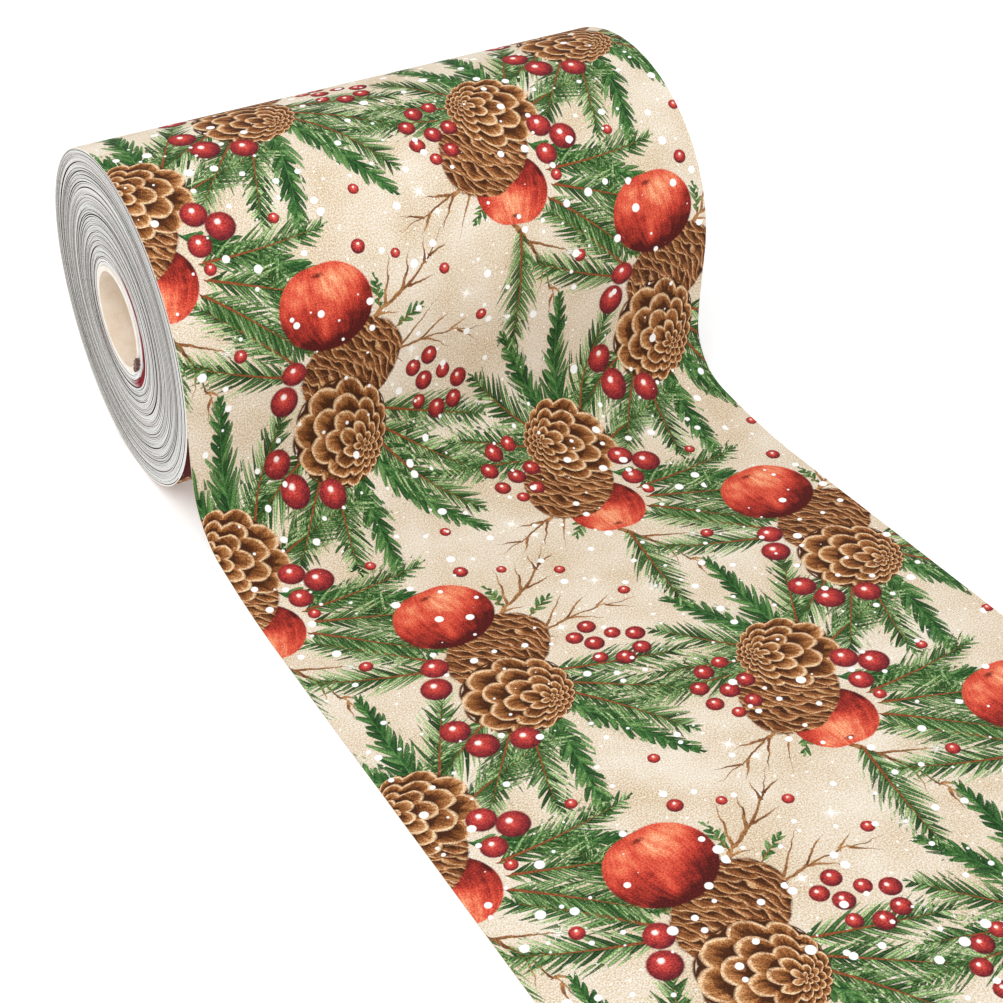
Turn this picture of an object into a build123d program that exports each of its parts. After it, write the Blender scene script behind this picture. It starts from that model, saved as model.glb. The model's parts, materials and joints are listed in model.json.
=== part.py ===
from build123d import *
from dataclasses import dataclass
from math import cos, degrees, radians, sin
import os

# A wide roll of printed wrapping paper lying on the floor, with its free sheet pulled off the front.
# Frame: origin at the centre of the core's bore, +X along the bore, +Z up, the free sheet runs to -Y.
# The roll touches the floor with its lowest line. All sizes are in millimetres.

# Overall sizes
WEB_WIDTH = 300.0
ROLL_DIAMETER = 176.0
CORE_BORE = 50.0
CORE_WALL = 3.0
WEB_THICKNESS = 0.6

# The wound web: each modelled turn is a tight band of three or four turns of paper
BAND_TURNS = 27
LEADER_BAND_TURNS = 2
BAND_GAP = 0.25
OUTER_TURN_THICKNESS = 0.9
WEB_START_ANGLE = 135.0

# The folded start of the web, tucked beside the core
FOLD_ARC = 26.0
FOLD_THICKNESS = 1.1

# The free sheet's path: a short straight drop, three tangent bends, then flat on the floor
NIP_ANGLE = 96.5
FALL_RADIUS = 183.0
FALL_TURN = 9.0
BEND_RADIUS = 31.5
BEND_TURN = 76.5
LAY_RADIUS = 355.0
SHEET_REACH = 520.0

# Clearances
SEAT_CLEARANCE = 0.05
BAND_END_CLEARANCE = 0.10
SHEET_CLEARANCE = 0.30

ROLL_RADIUS = ROLL_DIAMETER / 2
FLOOR_Z = -ROLL_RADIUS
CORE_RADIUS = CORE_BORE / 2 + CORE_WALL
BAND_START_RADIUS = CORE_RADIUS + SEAT_CLEARANCE
BAND_END_RADIUS = ROLL_RADIUS - OUTER_TURN_THICKNESS - BAND_END_CLEARANCE
BAND_PITCH = (BAND_END_RADIUS - BAND_START_RADIUS + BAND_GAP) / (BAND_TURNS + 1)
BAND_THICKNESS = BAND_PITCH - BAND_GAP


def direction(angle: float) -> Vector:
    """Return the unit (y, z) direction at an angle in degrees, measured from the top towards the front."""
    return Vector(-sin(radians(angle)), cos(radians(angle)))


def across_web(profile: Sketch) -> Part:
    """Return the solid made by running a (y, z) profile across the full width of the web.

    Args:
        profile: A face drawn with its first axis along +Y and its second along +Z.
    """
    end_plane = Plane(origin=(-WEB_WIDTH / 2, 0, 0), x_dir=(0, 1, 0), z_dir=(1, 0, 0))
    return extrude(end_plane * profile, WEB_WIDTH)


def ring(outer_radius: float, inner_radius: float) -> Part:
    """Return a closed tube as long as the web is wide, about the roll's axis."""
    return across_web(Circle(outer_radius) - Circle(inner_radius))


def half_turn(start_radius: float, band: int, pitch: float) -> Edge:
    """Return one half circle of a two-centre spiral.

    The centre swaps between the axis and a point half a pitch off it, so the half circles meet in tangency.

    Args:
        start_radius: Radius of half circle number 0.
        band: Number of the half circle, counted outwards from the core.
        pitch: Growth of the radius in one full turn.
    """
    start = WEB_START_ANGLE + 180 * band
    centre = direction(WEB_START_ANGLE) * (pitch / 2 if band % 2 else 0)
    radius = start_radius + band * pitch / 2
    return ThreePointArc(
        centre + direction(start) * radius,
        centre + direction(start + 90) * radius,
        centre + direction(start + 180) * radius,
    ).edge()


def spiral_band(first_turn: int, last_turn: int) -> Part:
    """Return the wound web from the start of one turn to the start of another.

    Args:
        first_turn: Turn the solid starts with, counted from the core.
        last_turn: Turn the solid stops before.
    """
    halves = range(2 * first_turn, 2 * last_turn)
    inner = [half_turn(BAND_START_RADIUS, band, BAND_PITCH) for band in halves]
    outer = [half_turn(BAND_START_RADIUS + BAND_THICKNESS, band, BAND_PITCH) for band in halves]
    caps = [
        Line(inner[0] @ 0, outer[0] @ 0).edge(),
        Line(inner[-1] @ 1, outer[-1] @ 1).edge(),
    ]
    return across_web(make_face(inner + outer + caps))


def start_fold() -> Part:
    """Return the folded start of the web, an arc of doubled paper in the wedge between core and first turn."""
    inner_radius = CORE_RADIUS + SEAT_CLEARANCE
    outer_radius = inner_radius + FOLD_THICKNESS
    first = WEB_START_ANGLE - degrees(2 * BAND_GAP / CORE_RADIUS)
    angles = (first, first - FOLD_ARC / 2, first - FOLD_ARC)
    inner = ThreePointArc(*[direction(angle) * inner_radius for angle in angles]).edge()
    outer = ThreePointArc(*[direction(angle) * outer_radius for angle in angles]).edge()
    caps = [Line(inner @ 0, outer @ 0).edge(), Line(inner @ 1, outer @ 1).edge()]
    return across_web(make_face([inner, outer] + caps))


@dataclass
class SheetPath:
    """The middle line of the free sheet, walked from the nip to the cut end, with a side offset.

    Attributes:
        offset: Distance of this line from the middle line, towards the printed face.
    """

    offset: float

    def __post_init__(self) -> None:
        """Start at the nip, heading along the roll's tangent."""
        self.middle = direction(NIP_ANGLE) * (ROLL_RADIUS + SHEET_CLEARANCE + WEB_THICKNESS / 2)
        self.heading = NIP_ANGLE + 90
        self.edges: list[Edge] = []

    def side(self) -> Vector:
        """Return the direction from the middle line to the printed face."""
        return direction(self.heading - 90)

    def straight(self, length: float) -> None:
        """Add a straight stretch of the given length."""
        ends = (self.middle, self.middle + direction(self.heading) * length)
        self.edges.append(Line(*[end + self.side() * self.offset for end in ends]).edge())
        self.middle = ends[1]

    def bend(self, radius: float, turn: float) -> None:
        """Add an arc that lifts the heading towards the front.

        Args:
            radius: Radius of the middle line.
            turn: Angle of the arc in degrees.
        """
        centre = self.middle + self.side() * radius
        angles = (self.heading, self.heading - turn / 2, self.heading - turn)
        arms = [direction(angle - 90) for angle in angles]
        points = [centre - arm * (radius - self.offset) for arm in arms]
        self.edges.append(ThreePointArc(*points).edge())
        self.middle = centre - arms[2] * radius
        self.heading = angles[2]


def sheet_line(offset: float) -> list[Edge]:
    """Return the edges of one face of the free sheet, from the nip to the cut end.

    The first straight drop takes up whatever height the bends leave above the floor.

    Args:
        offset: Distance from the sheet's middle line, towards the printed face.
    """
    path = SheetPath(offset)
    bends = (
        (FALL_RADIUS, FALL_TURN),
        (BEND_RADIUS, BEND_TURN),
        (LAY_RADIUS, NIP_ANGLE - FALL_TURN - BEND_TURN),
    )
    heading = NIP_ANGLE + 90
    bend_drop = 0.0
    for radius, turn in bends:
        bend_drop += radius * (sin(radians(heading - turn)) - sin(radians(heading)))
        heading -= turn
    height = path.middle.Y - (FLOOR_Z + WEB_THICKNESS / 2)
    path.straight((height - bend_drop) / -cos(radians(path.heading)))
    for radius, turn in bends:
        path.bend(radius, turn)
    path.straight(SHEET_REACH + path.middle.X)
    return path.edges


def free_sheet() -> Part:
    """Return the free sheet: the fall from the nip and the run along the floor to the straight cut end."""
    lower = sheet_line(-WEB_THICKNESS / 2)
    upper = sheet_line(WEB_THICKNESS / 2)
    caps = [Line(lower[0] @ 0, upper[0] @ 0).edge(), Line(lower[-1] @ 1, upper[-1] @ 1).edge()]
    return across_web(make_face(lower + upper + caps))


def main() -> None:
    """Build each piece and write it as its own STEP file."""
    pieces = {
        "core_tube": ring(CORE_RADIUS, CORE_BORE / 2),
        "start_fold": start_fold(),
        "leader_turns": spiral_band(0, LEADER_BAND_TURNS),
        "wound_web": spiral_band(LEADER_BAND_TURNS, BAND_TURNS),
        "outer_turn": ring(ROLL_RADIUS, ROLL_RADIUS - OUTER_TURN_THICKNESS),
        "free_sheet": free_sheet(),
    }
    os.makedirs("parts", exist_ok=True)
    for name, solid in pieces.items():
        export_step(solid, f"parts/{name}.step")


if __name__ == "__main__":
    main()
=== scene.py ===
"""Looks of a wide roll of printed wrapping paper, with its free sheet pulled off the front.

The print is a holiday pattern of fir sprigs, cones, apples and berries. It is drawn by the material of the
printed face: each motif is a formula in its own plane, and each small face of the paper's mesh carries the
motif coordinates of its corners, one layer of motifs per attribute.
"""

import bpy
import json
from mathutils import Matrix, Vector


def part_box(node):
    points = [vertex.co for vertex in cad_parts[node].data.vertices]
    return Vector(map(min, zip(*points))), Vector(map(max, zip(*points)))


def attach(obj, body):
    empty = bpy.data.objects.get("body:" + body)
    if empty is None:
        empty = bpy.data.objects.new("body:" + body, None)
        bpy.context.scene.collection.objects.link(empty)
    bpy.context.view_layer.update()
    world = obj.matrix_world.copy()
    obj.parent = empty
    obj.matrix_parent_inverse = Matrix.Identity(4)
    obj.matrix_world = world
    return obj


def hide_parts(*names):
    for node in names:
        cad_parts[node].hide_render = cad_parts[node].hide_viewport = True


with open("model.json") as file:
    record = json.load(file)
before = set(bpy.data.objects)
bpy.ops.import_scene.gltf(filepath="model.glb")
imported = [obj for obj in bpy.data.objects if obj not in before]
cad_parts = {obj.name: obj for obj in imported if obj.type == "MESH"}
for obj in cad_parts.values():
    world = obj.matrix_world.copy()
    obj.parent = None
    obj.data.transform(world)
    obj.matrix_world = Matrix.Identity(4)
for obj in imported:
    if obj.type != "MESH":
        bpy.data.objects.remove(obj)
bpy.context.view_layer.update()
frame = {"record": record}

import json
import logging
import math
from dataclasses import dataclass, field
from enum import Enum
from functools import partialmethod
from typing import Sequence, Union

import bpy
import numpy as np
from mathutils import Matrix, Vector

MM = 0.001
# Motif coordinates of a corner that no motif reaches.
FAR = (-1.0e4, -1.0e4, 0.0)
# The printed face's share of its UV map; the other faces share a strip at the border.
UV_SPAN, UV_START, UV_BORDER = 0.99, 0.003, 0.999
LOG = logging.getLogger("wrapping_roll")


def linear(sheet_hex: str) -> tuple[float, float, float, float]:
    """Return the linear RGBA of an sRGB hex colour such as "#E3C9A6"."""
    parts = [int(sheet_hex[i:i + 2], 16) / 255 for i in (1, 3, 5)]
    return (*[c / 12.92 if c <= 0.04045 else ((c + 0.055) / 1.055) ** 2.4 for c in parts], 1.0)


# ---- Sizes taken from the frame ----


@dataclass(frozen=True)
class RollSizes:
    """Sizes of the roll and its web, in metres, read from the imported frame."""

    width: float
    radius: float
    core_radius: float
    bore_radius: float
    sheet_reach: float
    paper: float = 0.6 * MM
    nip: float = math.radians(96.5)
    repeats: int = 3

    @property
    def floor(self) -> float:
        """Height of the floor under the roll."""
        return -self.radius

    def across(self, count: int) -> np.ndarray:
        """Return evenly spaced places across the web, from one edge to the other."""
        return np.linspace(-self.width / 2, self.width / 2, count)

    def web(self, across: np.ndarray, along: np.ndarray) -> np.ndarray:
        """Return web coordinates in millimetres, rows by columns by 2.

        Args:
            across: The x of each column, in metres.
            along: Each row's distance along the web, in millimetres.
        """
        coords = np.zeros((len(along), len(across), 2))
        coords[..., 0] = (across + self.width / 2) / MM
        coords[..., 1] = along[:, None]
        return coords

    @property
    def repeat(self) -> float:
        """Length of one print repeat along the web: a whole number of them goes round the roll."""
        return 2 * math.pi * self.radius / self.repeats


def read_sizes() -> RollSizes:
    """Return the roll's sizes from the CAD boxes and the core's mount."""
    low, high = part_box("outer_turn")
    core_low, core_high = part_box("core_tube")
    bore = next(m for m in frame["record"]["mounts"] if m["name"] == "core_bore")
    return RollSizes(
        width=high.x - low.x,
        radius=(high.z - low.z) / 2,
        core_radius=(core_high.z - core_low.z) / 2,
        bore_radius=bore["dims"]["r_mm"] * MM,
        sheet_reach=-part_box("free_sheet")[0].y,
    )


# ---- Meshes ----


class Side(Enum):
    """The three kinds of surface of a strip of paper or board."""

    FACE = 0
    BACK = 1
    EDGE = 2


@dataclass
class Slab:
    """A closed strip between an upper and a lower grid of points, such as paper with its real thickness.

    Attributes:
        face: Points of the printed or outer surface, an array of rows by columns by 3.
        back: Points of the other surface, the same shape.
        wrap: True where the last row joins the first, as round a tube.
        coords: Web coordinates in millimetres of every point, rows by columns by 2, or None.
        row_end: The coordinate along the rows where a wrapped strip closes.
    """

    face: np.ndarray
    back: np.ndarray
    wrap: bool = False
    coords: Union[np.ndarray, None] = None
    row_end: float = 0.0

    def quads(self) -> tuple[np.ndarray, np.ndarray]:
        """Return the corner indices of all quads and the Side number of each.

        Row i and column j of a grid is point i * columns + j. The face's quads run over neighbouring rows
        and columns, the back's are the same ones turned over, and the edges join the two borders.
        """
        rows, columns = self.face.shape[:2]
        count = rows * columns
        nxt = np.arange(1, rows + 1) % rows if self.wrap else np.arange(1, rows)
        cur = np.arange(len(nxt))
        i, j = np.meshgrid(cur, np.arange(columns - 1), indexing="ij")
        k = nxt[i]
        face = np.stack([i * columns + j, k * columns + j, k * columns + j + 1, i * columns + j + 1], -1)
        face = face.reshape(-1, 4)
        back = face[:, ::-1] + count
        first = np.stack([cur * columns, cur * columns + count, nxt * columns + count, nxt * columns], -1)
        last = first[:, ::-1] + columns - 1
        parts = [face, back, first, last]
        if not self.wrap:
            j = np.arange(columns - 1)
            start = np.stack([j, j + 1, j + 1 + count, j + count], -1)
            parts += [start, start[:, ::-1] + (rows - 1) * columns]
        sides = [Side.FACE.value, Side.BACK.value] + [Side.EDGE.value] * (len(parts) - 2)
        return np.concatenate(parts), np.concatenate([np.full(len(p), s) for p, s in zip(parts, sides)])

    def corner_coords(self) -> np.ndarray:
        """Return the web coordinates of the face's quad corners, quads by 4 by 2, in millimetres."""
        rows, columns = self.face.shape[:2]
        grid = self.coords
        if self.wrap:
            closing = grid[:1].copy()
            closing[..., 1] = self.row_end
            grid = np.concatenate([grid, closing])
        return np.stack([grid[:-1, :-1], grid[1:, :-1], grid[1:, 1:], grid[:-1, 1:]], 2).reshape(-1, 4, 2)

    def build(self, name: str, materials: list[bpy.types.Material], crease: float = 40.0) -> bpy.types.Object:
        """Make the mesh object.

        Args:
            name: Name of the piece.
            materials: One material per Side.
            crease: Edges sharper than this, in degrees, stay sharp.

        Returns:
            The new object, linked to the scene.
        """
        points = np.concatenate([self.face.reshape(-1, 3), self.back.reshape(-1, 3)])
        quads, sides = self.quads()
        mesh = bpy.data.meshes.new(name)
        mesh.vertices.add(len(points))
        mesh.vertices.foreach_set("co", points.ravel().astype(np.float32))
        mesh.loops.add(quads.size)
        mesh.loops.foreach_set("vertex_index", quads.ravel().astype(np.int32))
        mesh.polygons.add(len(quads))
        mesh.polygons.foreach_set("loop_start", np.arange(0, quads.size, 4, dtype=np.int32))
        mesh.polygons.foreach_set("material_index", sides.astype(np.int32))
        mesh.update(calc_edges=True)
        mesh.shade_smooth()
        mesh.set_sharp_from_angle(angle=math.radians(crease))
        for material in materials:
            mesh.materials.append(material)
        mesh.validate()
        piece = bpy.data.objects.new(name, mesh)
        bpy.context.scene.collection.objects.link(piece)
        return piece


def store_corners(mesh: bpy.types.Mesh, name: str, values: np.ndarray) -> None:
    """Store a vector for each corner of the first quads, and a far-away one for all other corners.

    Args:
        mesh: A mesh of quads whose first ones are the printed face.
        name: Name of the attribute.
        values: Array of quads by 4 by 3.
    """
    every = np.tile(np.array(FAR, np.float32), (len(mesh.loops), 1))
    every[:values.shape[0] * 4] = values.reshape(-1, 3)
    mesh.attributes.new(name, "FLOAT_VECTOR", "CORNER").data.foreach_set("vector", every.ravel())


def store_uv(mesh: bpy.types.Mesh, name: str, corners: np.ndarray) -> None:
    """Store a UV map for the corners of the first quads; the other corners get a small strip at the border.

    Args:
        mesh: A mesh of quads.
        name: Name of the UV map.
        corners: Array of quads by 4 by 2, in 0 to 1.
    """
    every = np.full((len(mesh.loops), 2), UV_BORDER, np.float32)
    every[:corners.shape[0] * 4] = corners.reshape(-1, 2)
    mesh.uv_layers.new(name=name).data.foreach_set("uv", every.ravel())


# ---- Formulas in materials ----

class Kind(Enum):
    """Kinds of node: type name, sockets in the order they are filled, output read, and fixed settings."""

    ATTRIBUTE = ("ShaderNodeAttribute", (), "Vector", {})
    BUMP = ("ShaderNodeBump", ("Strength", "Distance", "Height"), 0, {})
    CELLS = ("ShaderNodeTexVoronoi", ("Vector", "Scale"), 0, {"voronoi_dimensions": "2D"})
    CLAMP = ("ShaderNodeClamp", (0,), 0, {})
    DICE = ("ShaderNodeTexWhiteNoise", ("Vector",), "Color", {"noise_dimensions": "3D"})
    ENTRY = ("NodeGroupInput", (), 0, {})
    EXIT = ("NodeGroupOutput", (0,), None, {})
    MATH = ("ShaderNodeMath", (0, 1, 2), 0, {})
    MIX = ("ShaderNodeMix", (0, 6, 7), 2, {"data_type": "RGBA"})
    NOISE = ("ShaderNodeTexNoise", ("Vector", "Scale", "Detail", "Roughness"), 0, {"noise_dimensions": "3D"})
    PLACE = ("ShaderNodeTexCoord", (), "Object", {})
    SPLIT = ("ShaderNodeSeparateXYZ", (0,), 0, {})
    SPLIT_COLOUR = ("ShaderNodeSeparateColor", (0,), 0, {})
    STAMP = ("ShaderNodeGroup", (0, 1), 0, {})
    TONES = ("ShaderNodeValToRGB", (0,), 0, {})
    VECTOR = ("ShaderNodeCombineXYZ", (0, 1, 2), 0, {})
    VECTOR_MATH = ("ShaderNodeVectorMath", (0, 1, 2), 0, {})


Value = Union["Field", float, int, tuple]
Inks = Sequence[tuple[float, str]]


class Graph:
    """A node tree, to which formulas add their nodes."""

    def __init__(self, tree: bpy.types.NodeTree) -> None:
        """Keep the tree."""
        self.tree = tree

    def add(self, kind: Kind, *inputs: Value, inks: Inks = (), **settings: object) -> "Field":
        """Add one node with its settings and links.

        Args:
            kind: What node it is.
            *inputs: A Field to link, a tuple of Fields to link as a vector, or a plain value to set, for
                each of the kind's sockets in order.
            inks: For TONES, pairs of a place from 0 to 1 and an sRGB hex colour, in rising order.
            **settings: Properties of the node.

        Returns:
            The output that the kind reads.
        """
        name, sockets, output, fixed = kind.value
        values = [self.add(Kind.VECTOR, *value) if Field.inside(value) else value for value in inputs]
        made = self.tree.nodes.new(name)
        for setting, value in (fixed | settings).items():
            setattr(made, setting, value)
        for socket, value in zip(sockets, values):
            if isinstance(value, Field):
                self.tree.links.new(value.socket, made.inputs[socket])
            else:
                made.inputs[socket].default_value = value
        for number, (at, ink) in enumerate(inks):
            marks = made.color_ramp.elements
            mark = marks[number] if number < len(marks) else marks.new(at)
            mark.position = at
            mark.color = linear(ink)
        return Field(self, made.outputs[output] if output is not None else None)


class Field:
    """A number, vector or colour that varies over a surface: one output of a node, with arithmetic."""

    def __init__(self, graph: Graph, socket: Union[bpy.types.NodeSocket, None]) -> None:
        """Keep the graph and the socket."""
        self.graph = graph
        self.socket = socket

    @staticmethod
    def inside(value: Value) -> bool:
        """Return whether a value is a tuple with a Field in it, to be joined to a vector."""
        return isinstance(value, tuple) and any(isinstance(part, Field) for part in value)

    def step(self, operation: str, *others: Value) -> "Field":
        """Return the result of a named one-, two- or three-value operation, such as FLOOR or MINIMUM."""
        return self.graph.add(Kind.MATH, self, *others, operation=operation)

    def __rsub__(self, other: Value) -> "Field":
        """Return the difference from a plain number."""
        return self.graph.add(Kind.MATH, other, self, operation="SUBTRACT")

    def __rmul__(self, other: Value) -> "Field":
        """Return the product with a plain number in front."""
        return self.graph.add(Kind.MATH, other, self, operation="MULTIPLY")

    __add__ = partialmethod(step, "ADD")
    __sub__ = partialmethod(step, "SUBTRACT")
    __mul__ = partialmethod(step, "MULTIPLY")
    __truediv__ = partialmethod(step, "DIVIDE")
    __pow__ = partialmethod(step, "POWER")
    __abs__ = partialmethod(step, "ABSOLUTE")

    def times_plus(self, factor: Value, term: Value) -> "Field":
        """Return factor times this, plus term."""
        return self.step("MULTIPLY_ADD", factor, term)

    def clamped(self, slope: float = 1.0, shift: float = 0.0) -> "Field":
        """Return this times slope plus shift, held between 0 and 1."""
        return self.graph.add(Kind.CLAMP, self.times_plus(slope, shift))

    def other(self, output: Union[str, int]) -> "Field":
        """Return another output of the same node."""
        return Field(self.graph, self.socket.node.outputs[output])

    def parts(self, kind: Kind = Kind.SPLIT) -> list["Field"]:
        """Return the three numbers of a vector or, with SPLIT_COLOUR, of a colour."""
        first = self.graph.add(kind, self)
        return [first, first.other(1), first.other(2)]

    def feed(self, shader: bpy.types.Node, socket: str) -> None:
        """Link this to a socket of the shader."""
        self.graph.tree.links.new(self.socket, shader.inputs[socket])


# ---- Motifs: each paints itself in its own plane, x and y in millimetres and seed from 0 to 1 ----

# Width of the soft border of needles, twigs, rays and snow, in millimetres.
SOFT_EDGE = 0.35
# Added to a line's height over the paper where it must not show.
NEVER = -9.0


@dataclass(frozen=True)
class Motif:
    """A motif's box in its own plane, in millimetres: x from back to front, y to half_width on each side."""

    back: float
    front: float
    half_width: float

    def paint(self, g: Graph, under: Field, x: Field, y: Field, seed: Field) -> Field:
        """Return the colour under with this motif printed over it."""
        raise NotImplementedError

    def stamp(self) -> bpy.types.NodeTree:
        """Return this motif's formula as a node group, from the colour under and the place to a colour."""
        tree = bpy.data.node_groups.new(type(self).__name__, "ShaderNodeTree")
        tree.interface.new_socket("Under", in_out="INPUT", socket_type="NodeSocketColor")
        tree.interface.new_socket("Place", in_out="INPUT", socket_type="NodeSocketVector")
        tree.interface.new_socket("Over", in_out="OUTPUT", socket_type="NodeSocketColor")
        g = Graph(tree)
        under = g.add(Kind.ENTRY)
        g.add(Kind.EXIT, self.paint(g, under, *under.other("Place").parts()))
        return tree


@dataclass(frozen=True)
class FirSprig(Motif):
    """A sprig: a bent stem along x with needles or lobes slanting forward on both sides.

    A point's needle is the one that leaves the stem at t = x - |y| * cot(slant) * (1 + curl * |y|). The
    whole part of t / spacing numbers the needle and the fraction says how far across it the point lies.
    The needle narrows along its length as (1 - q * q) ** bluntness, with q running from 0 to 1.

    Attributes:
        length: Length of the stem, in millimetres.
        reach: Length of the longest needles, measured square to the stem.
        spacing: Distance of neighbouring needles along the stem.
        slant: Angle between needle and stem, in radians.
        blade: Half the width of a needle at its root.
        bluntness: Power of the needle's narrowing; a low one gives lobes.
        bend: How far the stem may bend, as a share of its length.
        body: Share of the needles' length that is shaded near the stem.
        stem: Half the width of the stem.
        inks: The needles' colours, from dark to pale.
        shade_ink: Colour of the shade.
        stem_ink: Colour of the stem.
    """

    length: float = 60.0
    reach: float = 14.5
    spacing: float = 4.1
    slant: float = math.radians(41.0)
    blade: float = 1.25
    bluntness: float = 0.75
    bend: float = 0.34
    body: float = 0.22
    stem: float = 0.75
    inks: tuple[str, ...] = ("#14280F", "#26491F", "#456F33", "#B4CC90")
    shade_ink: str = "#22401B"
    stem_ink: str = "#8A4A2A"

    def paint(self, g: Graph, under: Field, x: Field, y: Field, seed: Field) -> Field:
        """Paint the shade between the needles, then the needles, then the stem."""
        along = x / self.length
        y = y - (seed * 2.0 - 1.0) * self.bend * (along * along) * self.length * 0.5
        out = abs(y)
        side = y.step("SIGN")
        lean = out.times_plus(0.022, 1.0) * out / math.tan(self.slant)
        t = (x - lean + side * (self.spacing / 4)) / self.spacing
        number = t.step("FLOOR")
        random = g.add(Kind.DICE, (number, side, seed * 97.0)).parts(Kind.SPLIT_COLOUR)
        place = number * (self.spacing / self.length)
        taper = (1.03 - place).step("MAXIMUM", 0.0) ** 0.45
        grow = place.times_plus(3.0, 0.45).step("MINIMUM", 1.0)
        inside = place.step("GREATER_THAN", -0.02)
        height = taper * grow * random[0].times_plus(0.45, 0.66) * inside * self.reach
        q = out / height.step("MAXIMUM", 0.01)
        drift = (random[1] - 0.5) * q
        off = abs(t - number - 0.5 + drift) * (self.spacing * math.sin(self.slant))
        width = (1.0 - q * q).step("MAXIMUM", 0.0) ** self.bluntness * self.blade
        tip = q.step("LESS_THAN", 1.0)
        needle = ((width - off) / SOFT_EDGE).clamped(1.0, 0.5) * tip
        shade = ((self.body - q) * 6.0).clamped() * inside * along.step("LESS_THAN", 0.97)
        shine = (1.0 - off / self.blade) * 0.42
        tone = random[2].times_plus(0.72, shine) + q * 0.10 - 0.14
        inked = g.add(Kind.TONES, tone, inks=list(zip((0.02, 0.32, 0.62, 0.98), self.inks)))
        colour = g.add(Kind.MIX, shade * 0.9, under, linear(self.shade_ink))
        colour = g.add(Kind.MIX, needle, colour, inked)
        stem = ((self.stem * (1.25 - along) - out) / SOFT_EDGE).clamped() * (x + 2.0).clamped()
        return g.add(Kind.MIX, stem * inside * along.step("LESS_THAN", 0.93), colour, linear(self.stem_ink))


@dataclass(frozen=True)
class RoundCone(Motif):
    """A cone seen towards its tip: rings of scales round a point set well off the middle of the outline.

    With r the distance from that point over the outline's distance that way, the ring is the whole part of
    rings * r ** 0.85. Each scale's rim bulges outward as the square of its angle across the scale.
    """

    radius: float = 26.5
    offset: float = 16.0
    rings: float = 5.2
    bulge: float = 0.62

    def paint(self, g: Graph, under: Field, x: Field, y: Field, seed: Field) -> Field:
        """Paint the dark gaps, then each scale from its dark base to its pale rim."""
        wobble = g.add(Kind.NOISE, (x, y, seed * 40.0), 1 / 9.0, 1.0) - 0.5
        px = x + self.offset + wobble * 3.0
        py = y + wobble * 2.0
        far = (px * px + py * py).step("SQRT")
        angle = py.step("ARCTAN2", px)
        cross = angle.step("SINE") * self.offset
        reach = angle.step("COSINE") * self.offset + (self.radius ** 2 - cross * cross).step("SQRT")
        r = far / reach
        depth = r.step("MAXIMUM", 0.0) ** 0.85 * self.rings
        ring = depth.step("FLOOR")
        count = (ring * 2.0 + 5.0).step("MINIMUM", 13.0)
        turn = angle / (2 * math.pi) * count + ring * 0.5 + seed * 7.0
        slot = turn.step("FLOOR")
        across = (turn - slot - 0.5) * 2.0
        bow = across * across * self.bulge
        edge = 1.0 - bow - (depth - ring)
        random = g.add(Kind.DICE, (slot, ring, seed * 31.0)).parts(Kind.SPLIT_COLOUR)
        grain = g.add(Kind.NOISE, (turn * 7.0, depth * 0.9, seed), 1.0, 2.0, 0.6)
        tone = edge.times_plus(-0.8, 0.72) + grain * 1.15 + random[0] * 0.35 - 0.76
        inks = [(0.0, "#4A270F"), (0.25, "#7A4822"), (0.5, "#A0683A"), (0.72, "#BE8A5A"), (0.98, "#DDB58A")]
        scale = g.add(Kind.TONES, tone, inks=inks)
        rim = ((0.20 - edge) * 9.0).clamped()
        scale = g.add(Kind.MIX, rim * (grain.clamped(2.2, -0.35)), scale, linear("#EBC9A0"))
        gap = (edge * -6.0).clamped(1.0, 0.10)
        cone = g.add(Kind.MIX, gap, scale, linear("#43220D"))
        outline = ((1.0 - r - bow * 0.09) * 40.0).clamped()
        return g.add(Kind.MIX, outline, under, cone)


@dataclass(frozen=True)
class SideCone(Motif):
    """A cone seen from the side, behind the others: an oval of long thin scales in staggered, wavy rows.

    Rows are counted across the oval by y over the row's pitch; within a row, x over the scale's length
    numbers the scale. Each scale is a lens, thinner towards its ends.
    """

    along_radius: float = 23.0
    across_radius: float = 29.0
    pitch: float = 3.1
    scale_length: float = 15.0

    def paint(self, g: Graph, under: Field, x: Field, y: Field, seed: Field) -> Field:
        """Paint the lens-shaped scales with pale rims and dark lines between them."""
        wobble = g.add(Kind.NOISE, (x * 0.5, y, seed * 30.0), 1 / 7.0) - 0.5
        depth = (y + wobble * 9.0 + (x * 0.13 + seed * 6.0).step("SINE") * 2.0) / self.pitch
        ring = depth.step("FLOOR")
        turn = x / self.scale_length + ring * 0.37
        slot = turn.step("FLOOR")
        across = (turn - slot - 0.5) * 2.0
        edge = 1.0 - across * across * 0.6 - (depth - ring)
        random = g.add(Kind.DICE, (slot, ring, seed * 31.0)).parts(Kind.SPLIT_COLOUR)
        grain = g.add(Kind.NOISE, (x * 0.22, y * 1.3, seed), 1.0, 2.0, 0.6)
        tone = edge.times_plus(-0.65, 0.66) + grain * 1.1 + random[0] * 0.35 - 0.74
        inks = [(0.0, "#45240E"), (0.28, "#6F4020"), (0.52, "#935B31"), (0.75, "#B58053"), (0.98, "#DDB58A")]
        scale = g.add(Kind.TONES, tone, inks=inks)
        rim = ((0.22 - edge) * 8.0).clamped() * grain.clamped(2.5, -0.6)
        scale = g.add(Kind.MIX, rim * 0.8, scale, linear("#DDB386"))
        cone = g.add(Kind.MIX, (edge * -5.0).clamped(1.0, 0.15), scale, linear("#43220D"))
        u = x / self.along_radius
        v = y / self.across_radius
        r = (u * u + v * v).step("SQRT")
        outline = ((1.0 - r + wobble * 0.16) * 22.0).clamped()
        return g.add(Kind.MIX, outline, under, cone)


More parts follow.
